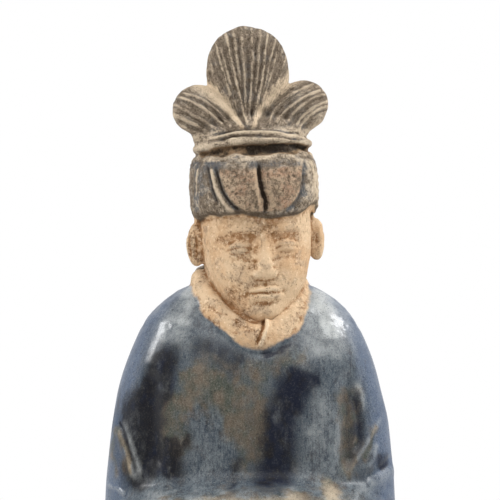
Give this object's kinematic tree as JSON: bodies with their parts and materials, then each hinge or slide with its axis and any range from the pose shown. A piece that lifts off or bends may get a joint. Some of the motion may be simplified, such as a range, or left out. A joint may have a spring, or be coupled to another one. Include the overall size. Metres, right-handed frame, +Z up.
{
  "type": "glazed court attendant figure",
  "caption": "Standing court attendant with a lobed topknot and hands joined in long sleeves, glazed earthenware, fired in one piece with a low flat base that it stands on.",
  "frame": {"origin": "middle of the base's underside, on the surface the figure stands on", "axes": "+Z up through the figure, the figure faces -Y, and +X is the viewer's right as the viewer faces it"},
  "size_m": [0.0849, 0.074, 0.3003],
  "materials": {
    "glazed_clay": "dark blue glaze gone mottled on the robe, unglazed buff earthenware with worn black hair above it"
  },
  "bodies": {
    "root": {"attendant_figure": "glazed_clay"}
  },
  "joints": []
}
